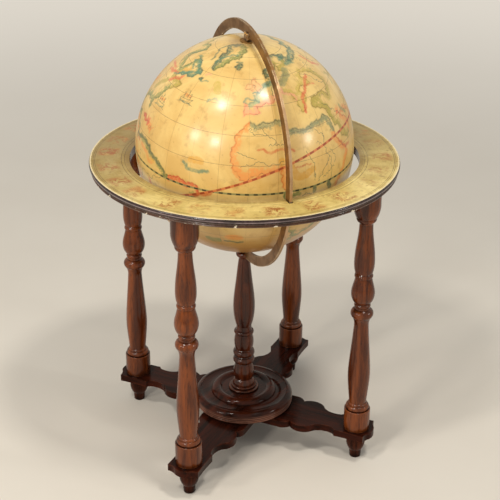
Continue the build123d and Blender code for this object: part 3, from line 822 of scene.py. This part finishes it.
def mapFinish(look):
    material, tree, surface = newMaterial("varnished map")
    away = vectorCalc("NORMALIZE", vectorCalc("SUBTRACT", place(tree), tuple(ballCentre)))

    def toward(axis):
        return vectorCalc("DOT_PRODUCT", away, tuple(axis))

    def angles(ahead, side, top):  # degrees round from ahead, and degrees up toward top
        turn = calc("ARCTAN2", toward(side), toward(ahead))
        return toDegrees(turn), toDegrees(calc("ARCSINE", toward(top)))

    longitude, latitude = angles(notch, east, pole)
    wobble = noise(away, 40.0, 3.0) - 0.5
    patchy = noise(away, 26.0, 4.0, 0.6)
    faded = between(noise(away, 55.0, 3.0, 0.6), 0.3, 0.6)
    age = agedPaper(tree, look)
    # painted shade: the south half of the ball is darkened, as if shaded by the horizon
    color = mixColor(between(latitude, *look["southShade"]), age["Color"], look["south"])

    # washes along the coasts and as strokes
    depth = look["washDepth"]
    coast = attribute(tree, "coast") + wobble * look["coastStray"]
    reach = between(patchy, 0.34, 0.62, look["washNarrow"], look["washWide"])
    inland = between(coast, reach * 0.45, reach, 1.0, 0.0)
    laid = inland * between(coast, -2.4, 0.4) * between(faded, 0, 1, depth * 0.55, depth)
    wash = attribute(tree, "coastWash", "Color")
    color = mixColor(laid, color, wash)
    pooled = laid * nearLine(coast - 0.6, 0.9, 0.9)
    color = mixColor(pooled * 0.6, color, wash, "MULTIPLY")
    stroke = attribute(tree, "stroke") + wobble * look["strokeStray"]
    dry = between(noise(away, look["dryBrush"], 3.0, 0.6), 0.3, 0.55, 0.6, 1.0)
    brushed = between(stroke, -2.0, 0.9, 1.0, 0.0) * between(patchy, 0.3, 0.6, 0.45, depth) * dry
    color = mixColor(brushed, color, attribute(tree, "strokeWash", "Color"))

    # ripples off the coasts, the net of degrees, then the ink
    outermost, shore = look["ripples"]
    water = between(coast, outermost, shore) * oneIf(coast, shore, 0.2)
    ripple = between(calc("SINE", coast * 5.0), 0.2, 0.8)
    color = mixColor(water * ripple * look["rippleDepth"], color, look["rippleInk"])
    stepUp, stepRound = look["net"]
    rowLength = calc("COSINE", calc("RADIANS", latitude)) * mmPerDegree
    offParallel = calc("PINGPONG", latitude, stepUp / 2) * mmPerDegree
    offMeridian = calc("PINGPONG", longitude - look["firstMeridian"], stepRound / 2) * rowLength
    upright = nearLine(offMeridian, *look["meridian"]) * look["meridianDepth"]
    net = calc("MAXIMUM", nearLine(offParallel, *look["parallel"]), upright)
    net = net * between(faded, 0, 1, 0.55, 0.95) * oneIf(abs(latitude), look["lastParallel"], 0.3)
    color = mixColor(net * look["netDepth"], color, look["netInk"])
    onCoast = nearLine(coast, 0.4) * between(patchy, 0.46, 0.64, 0.06, 0.6)
    color = mixColor(onCoast, color, look["coastInk"])
    onInk = nearLine(attribute(tree, "inkSide"), 0.4) * oneIf(attribute(tree, "inkNear"), 1.5, 0.4)
    color = mixColor(onInk * look["riverDepth"], color, look["riverInk"])

    color = dashedBand(color, latitude * mmPerDegree, longitude, equator)
    node, tilt = math.radians(ecliptic["node"]), math.radians(ecliptic["tilt"])
    onward = notch * math.cos(node) + east * math.sin(node)
    across = east * math.cos(node) - notch * math.sin(node)
    along, off = angles(onward, across * math.cos(tilt) + pole * math.sin(tilt),
                        pole * math.cos(tilt) - across * math.sin(tilt))
    color = dashedBand(color, off * mmPerDegree, along, ecliptic)

    seamGap = calc("PINGPONG", longitude - ball["firstSeam"], 180 / ball["gores"]) * rowLength
    color = mixColor(nearLine(seamGap, *look["seam"]) * look["seamDepth"], color, look["stain"])
    color = mixColor(between(abs(latitude), *look["poleShade"]), color, look["smudge"])
    varnish(surface, look, color, age["Cloud"])
    height = between(seamGap, 0.0, 1.2) * 0.25 + age["Fibre"] * 0.12
    addBump(surface, noise(away, 7.0, 3.0, 0.5) * 3.0 + height, 0.35, 0.0006)
    return material


def makeBall():
    books = (coastBook(), strokeBook(), inkBook())
    print("map drawn:", [len(book.pieces) for book in books], "line pieces")
    varnishedMap = mapFinish(mapPaper)
    for number in range(ball["gores"]):
        gore = makeGore(number, books)
        gore.data.materials.append(varnishedMap)
        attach(gore, "globe")
        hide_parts("north_shell", "south_shell")
    print("ball covered with", ball["gores"], "gores")


makeBall()

# Horizon: a varnished paper with rings and a worn drawing in each of its panels, and a blackened rim
horizonLow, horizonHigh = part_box("horizon_rim")
horizonPaper = {
    "light": rgb(234, 212, 136), "dark": rgb(194, 168, 94), "stain": rgb(132, 98, 46), "stains": 0.6,
    # back: painted shade on the back half of the paper, behind the ball
    "clouds": 14.0, "back": rgb(128, 102, 48), "backPaintedShade": (-0.24, 0.14, 0.0, 0.8),  # metres, least, most
    "innerBand": (211.0, 219.0), "bandColor": rgb(150, 122, 66),
    "rings": (220.6, 226.4, 274.6, 277.4), "ringHalfWidth": 0.5, "ink": rgb(100, 74, 34),
    "panels": 24, "panelMiddle": 252.0, "panelSize": ((17, 8), (18, 6)), "panelShift": 9.0,
    "drawing": rgb(152, 88, 38), "drawingHalfWidth": 1.0, "tints": (rgb(200, 138, 70), rgb(182, 130, 68)),
    "edge": 281.6, "pale": rgb(240, 222, 176),
    "gloss": 0.34, "dull": 0.52, "shine": 0.28, "coat": 0.12, "coatRoughness": 0.22,
}
blackRim = {
    "dark": rgb(34, 22, 22), "light": rgb(54, 36, 36),
    "edgeReach": 0.003, "hollowReach": 0.01, "breakUp": 120.0, "rub": 0.25, "rubColor": rgb(150, 128, 112),
    # painted highlight: a pale line along the rim, a little under its top
    "bead": (0.0048, 0.001, 0.0006), "beadColor": rgb(150, 130, 130),  # depth, half width, softness
    "bottom": (0.007, 0.003), "bottomColor": rgb(96, 64, 44),
    "lip": 0.005, "chips": 0.58, "chipColor": rgb(232, 216, 186),
    "gloss": 0.16, "dull": 0.3, "shine": 0.4, "coat": 0.15, "coatRoughness": 0.1,
}


def drawnPanel(across, outward, pick, look):  # a figure and scrolls in a few loose lines
    spot = joined(across, outward, pick * 40.0)
    body = noise(spot, 0.07, 2.0, 0.45, 0.9)
    folds = noise(spot, 0.14, 2.0, 0.5, 0.6)

    def contour(field, level, steepness):
        return nearLine((field - level) * steepness, look["drawingHalfWidth"], 0.45)

    crease = contour(folds, 0.5, 24.0) * between(body, 0.5, 0.56)
    inner = calc("MAXIMUM", contour(body, 0.63, 34.0), crease * 0.8)
    return calc("MAXIMUM", contour(body, 0.52, 34.0), inner)


def paperFinish(look):
    material, tree, surface = newMaterial("horizon paper")
    point = place(tree)
    x, y = onAxis(point, "X"), onAxis(point, "Y")
    radius = lengthIn(point, (1, 1, 0)) * 1000.0
    angle = toDegrees(calc("ARCTAN2", y, x))
    age = agedPaper(tree, look)
    streaks = noise(joined(radius / 3.0, angle * 0.25), 1.0, 4.0, 0.6)
    faded = between(noise(point, 34.0, 4.0, 0.65), 0.38, 0.62)
    color = mixColor(between(streaks, 0.5, 0.75, 0.0, 0.35), age["Color"], look["stain"])
    # painted shade: the paper darkens toward the back, behind the ball
    color = mixColor(between(y, *look["backPaintedShade"]), color, look["back"])

    low, high = look["innerBand"]
    band = between(radius, low - 0.5, low + 0.5) * oneIf(radius, high, 0.5)
    color = mixColor(band * between(faded, 0, 1, 0.45, 0.8), color, look["bandColor"])
    for ring in look["rings"]:
        line = nearLine(radius - ring, look["ringHalfWidth"])
        color = mixColor(line * between(faded, 0, 1, 0.55, 0.95), color, look["ink"])

    step, middle, shift = 360 / look["panels"], look["panelMiddle"], look["panelShift"]
    turns = angle / step
    pick = put(tree, "TexWhiteNoise", "Value", {"W": calc("FLOOR", turns)}, noise_dimensions="1D")
    across = (calc("FRACT", turns) - 0.5) * (math.radians(step) * middle) + between(pick, 0, 1, -shift, shift)
    outward = radius - middle
    wide, deep = look["panelSize"]
    inPanel = oneIf(abs(across), *wide) * oneIf(abs(outward), *deep)
    tint = mixColor(oneIf(pick, 0.45, 0.02), *look["tints"])
    blot = between(noise(point, 42.0, 3.0, 0.6), 0.46, 0.62)
    color = mixColor(inPanel * blot * 0.5, color, tint)
    drawn = drawnPanel(across, outward, pick, look) * inPanel * between(faded, 0, 1, 0.5, 1.0)
    strength = between(calc("FRACT", pick * 7.0), 0.1, 0.7, 0.35, 1.0)  # some panels are more worn
    color = mixColor(drawn * strength, color, look["drawing"])

    ragged = radius + (noise(point, 160.0, 4.0, 0.7) - 0.5) * 5.0
    worn = between(ragged, look["edge"] - 0.6, look["edge"] + 0.5)
    varnish(surface, look, mixColor(worn * 0.8, color, look["pale"]), age["Cloud"])
    addBump(surface, age["Fibre"] * 0.3 - worn, 0.3, 0.0004)
    return material


def rimFinish(look):
    material, tree, surface = newMaterial("blackened rim")
    point = place(tree)
    height = onAxis(point, "Z")
    worn = wearAndShadeOf(tree, look)
    cloud = noise(point, 40.0, 5.0, 0.6)
    flakes = noise(point, 75.0, 3.0, 0.6)
    color = mixColor(between(cloud, 0.34, 0.66), look["dark"], look["light"])
    color = mixColor(worn["Edges"] * look["rub"], color, look["rubColor"])
    # painted highlight line a little under the rim's top
    down, halfWidth, softness = look["bead"]
    bead = nearLine(height - (horizonHigh.z - down), halfWidth, softness)
    color = mixColor(bead * between(cloud, 0.3, 0.6, 0.3, 0.85), color, look["beadColor"])
    bottom = between(height, *(horizonLow.z + up for up in look["bottom"]))
    color = mixColor(bottom * between(cloud, 0.35, 0.6, 0.3, 0.8), color, look["bottomColor"])
    chips = look["chips"]
    edge = height - between(flakes, chips, chips + 0.15, 0.0, look["lip"])
    chipped = oneIf(edge, horizonLow.z + 0.0004, 0.0006) * between(flakes, chips - 0.04, chips)
    varnish(surface, look, mixColor(chipped, color, look["chipColor"]), cloud)
    addBump(surface, flakes * 0.5 - chipped, 0.4, 0.0004)
    return material


# The frame's own parts: a finish, and how the names of the parts that it is for begin
finishes = (
    (woods["legs"], "leg_"), (woods["column"], "column"), (woods["feet"], "foot_"),
    (woods["plinth"], "plinth"), (woods["lowerBar"], "base_bar_lower"), (woods["upperBar"], "base_bar_upper"),
    (woods["frontBoard"], "horizon_board_front", "horizon_board_back"),
    (woods["sideBoard"], "horizon_board_left", "horizon_board_right"),
    (rimFinish(blackRim), "horizon_rim"), (paperFinish(horizonPaper), "horizon_paper"),
    (woods["bare"], "horizon_splines", "equator_band", "globe_post", "north_hub", "south_hub"),
    (metals["meridian"], "meridian_ring", "north_bracket", "south_bracket"),
    (metals["steel"], "plinth_screws", "column_bolt", "bolt_washer", "north_pin", "south_pin"),
)
finishOf = {start: finish for finish, *starts in finishes for start in starts}
for name, piece in parts.items():
    start = max((key for key in finishOf if name.startswith(key)), key=len, default=None)
    piece.data.materials.clear()
    piece.data.materials.append(finishOf.get(start, metals["fittings"]))
print("parts finished")

# Room, lights and camera
room = {"floor": (rgb(226, 219, 206), rgb(217, 209, 195)), "wallColor": rgb(222, 215, 203), "light": 0.42,
        "fade": (0.9, 3.6)}


def ray(tree, kind):
    return put(tree, "LightPath", f"Is {kind} Ray")


def makeRoom():
    bpy.ops.mesh.primitive_plane_add(size=14, location=(0, 0, 0))
    floor = bpy.context.object
    floor.name = "floor"
    material, tree, surface = newMaterial("pale floor")
    pale = mixColor(noise(place(tree), 3.0, 4.0, 0.5), *room["floor"])
    far = between(vectorCalc("LENGTH", place(tree)), *room["fade"]) * ray(tree, "Camera")
    for name, value in (("Base Color", mixColor(far, pale, (0, 0, 0, 1))), ("Roughness", 0.6),
                        ("Specular IOR Level", 0.0), ("Emission Color", room["wallColor"]),
                        ("Emission Strength", far)):
        plug(surface.inputs[name], value)
    floor.data.materials.append(material)
    world = bpy.data.worlds.new("studio")
    world.use_nodes = True
    scene.world = world
    tree = world.node_tree
    mirrored = calc("MAXIMUM", ray(tree, "Glossy"), ray(tree, "Transmission"))
    seen = calc("MAXIMUM", ray(tree, "Camera"), mirrored)
    background = tree.nodes["Background"]
    plug(background.inputs["Color"], mixColor(seen, (1, 1, 1, 1), room["wallColor"]))
    plug(background.inputs["Strength"], between(seen, 0, 1, room["light"], 1.0))


lamps = {  # place, aim, size, watts, colour
    "high left": ((-1.56, -0.93, 3.23), (0, 0, 0.6), 0.42, 30.0, (1, 0.97, 0.92)),
    "high front": ((0.55, -1.2, 3.51), (0, 0, 0.6), 0.4, 34.0, (1, 0.97, 0.92)),
    "low left": ((-2.88, -0.77, 1.72), (0, 0, 0.5), 0.42, 17.0, (1, 0.95, 0.88)),
    "low front": ((-2.35, -1.87, 1.7), (0, 0, 0.4), 0.42, 24.0, (1, 0.95, 0.88)),
    "right": ((2.33, -2.02, 1.33), (0, 0, 0.5), 0.36, 12.0, (1, 0.97, 0.92)),
}


def makeLamps():
    for name, (spot, aim, size, watts, color) in lamps.items():
        lamp = bpy.data.lights.new(name, "AREA")
        lamp.size = size
        lamp.energy = watts
        lamp.color = color
        holder = bpy.data.objects.new(name, lamp)
        scene.collection.objects.link(holder)
        holder.location = spot
        holder.rotation_euler = (Vector(aim) - Vector(spot)).to_track_quat("-Z", "Y").to_euler()


camera = {
    "place": (-0.7559, -2.0542, 1.4784), "turn": 20.49, "drop": 26.24, "roll": 0.37, "lens": 92.03,
}


def makeCamera():
    turn, drop, roll = (math.radians(camera[key]) for key in ("turn", "drop", "roll"))
    ahead = Vector((math.sin(turn) * math.cos(drop), math.cos(turn) * math.cos(drop), -math.sin(drop)))
    right = Vector((math.cos(turn), -math.sin(turn), 0))
    up = right.cross(ahead)
    rolledRight = right * math.cos(roll) + up * math.sin(roll)
    rolledUp = up * math.cos(roll) - right * math.sin(roll)
    lens = bpy.data.cameras.new("camera")
    lens.lens = camera["lens"]
    holder = bpy.data.objects.new("camera", lens)
    scene.collection.objects.link(holder)
    axes = Matrix((rolledRight, rolledUp, -ahead)).transposed()
    holder.matrix_world = Matrix.Translation(camera["place"]) @ axes.to_4x4()
    scene.camera = holder


makeRoom()
makeLamps()
makeCamera()
scene.view_settings.view_transform = "Standard"
print("room lit, camera set")
